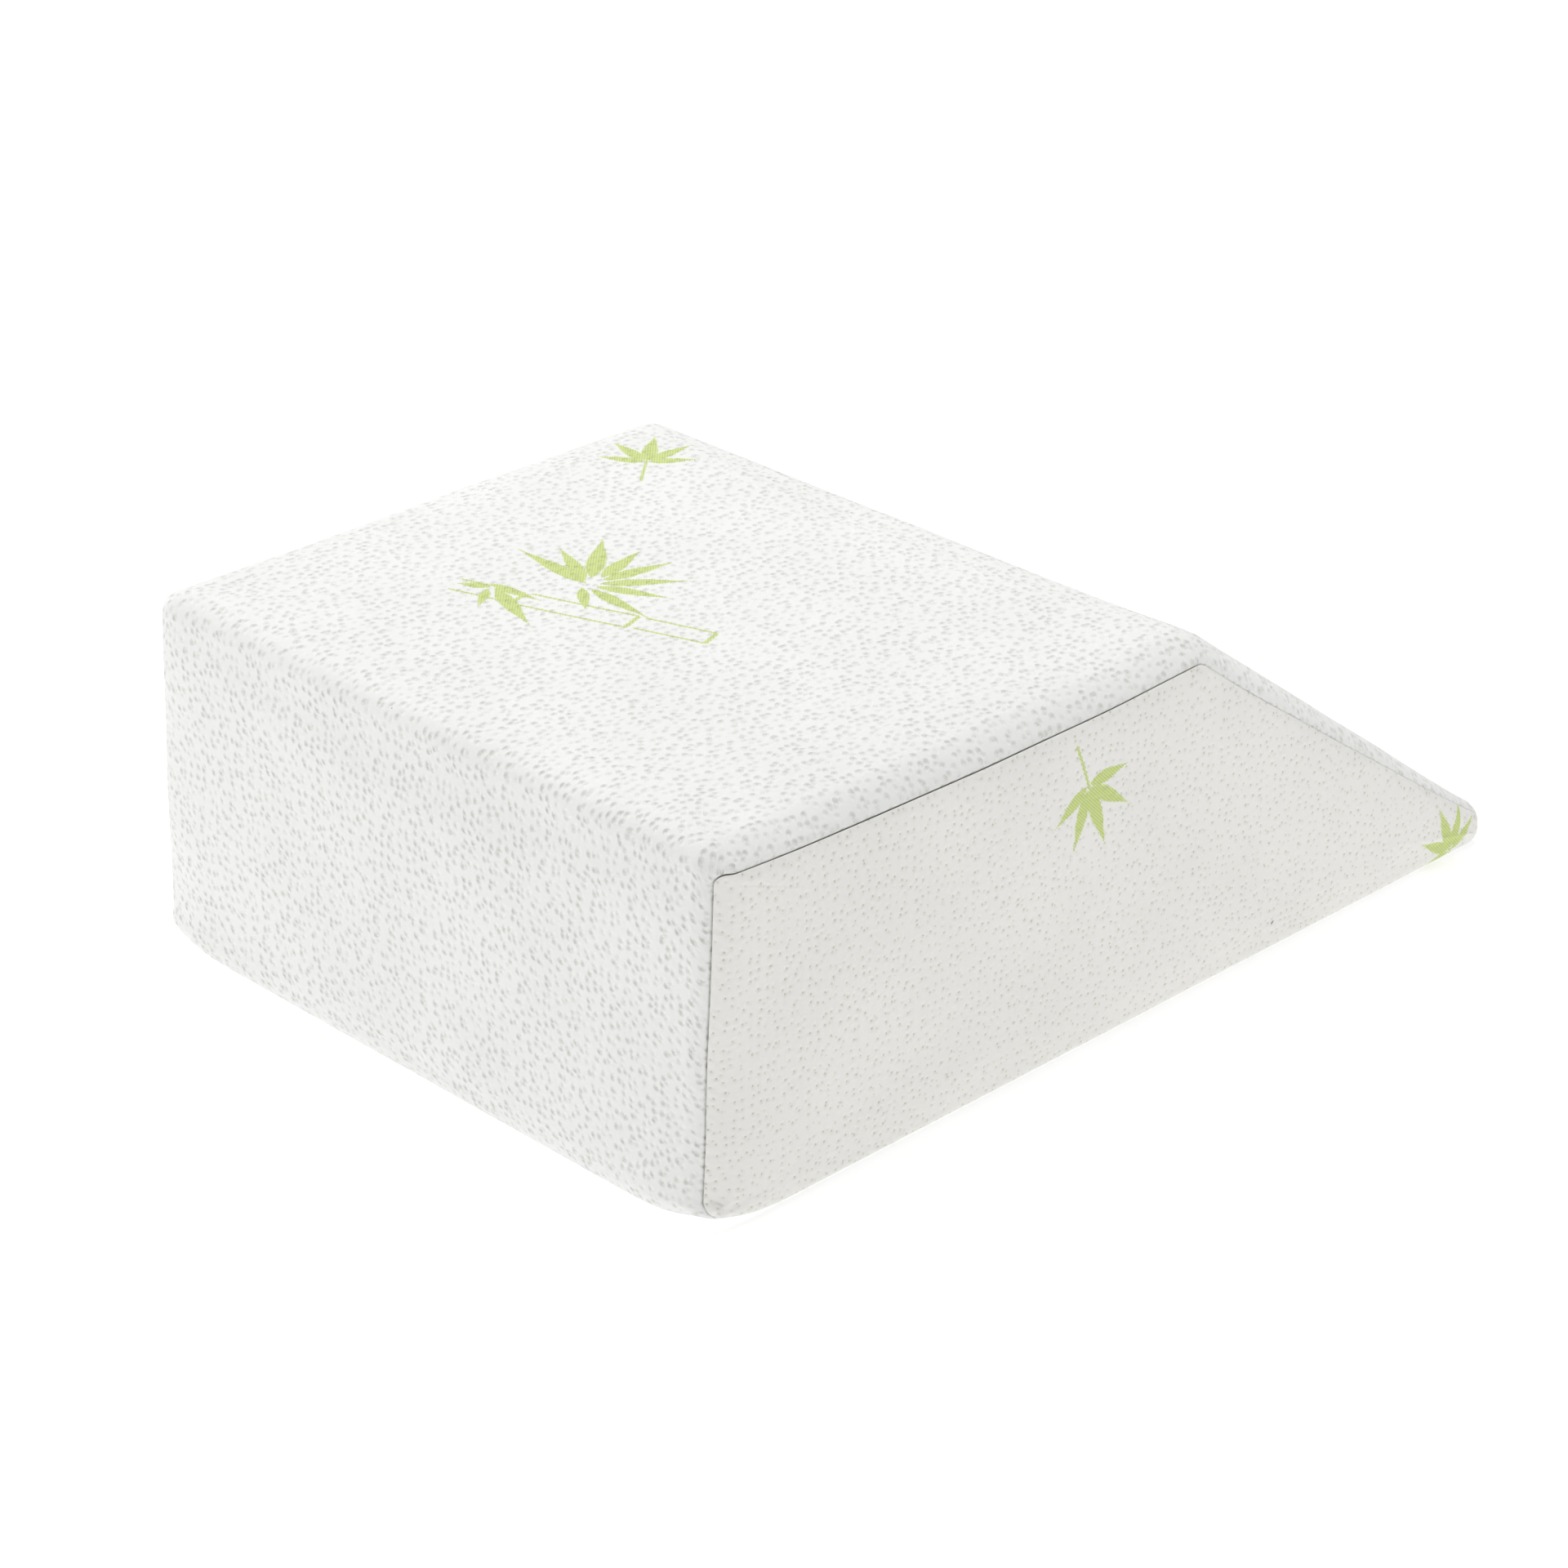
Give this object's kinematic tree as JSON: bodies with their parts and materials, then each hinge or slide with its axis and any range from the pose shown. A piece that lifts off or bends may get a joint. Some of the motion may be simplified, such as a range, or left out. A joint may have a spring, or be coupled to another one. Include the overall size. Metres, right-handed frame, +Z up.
{
  "type": "wedge pillow",
  "caption": "Leg-raising wedge pillow: level top, ramp down to a thin nose, soft rolled edges, in a knitted cover with a panel sewn into each flank.",
  "frame": {"origin": "on the floor, under the middle of the pillow's box", "axes": "+X across the width, towards the right flank; +Y from the tall end to the thin nose; +Z up"},
  "size_m": [0.4246, 0.5898, 0.2009],
  "materials": {
    "wrap_knit": "matt double knit with small dimples and a few woven leaf motifs",
    "side_knit": "the same knit, stretched flatter, with crisper dimples"
  },
  "bodies": {
    "root": {"pillow": "wrap_knit", "side_panel_right": "side_knit", "side_panel_left": "side_knit"}
  },
  "joints": []
}
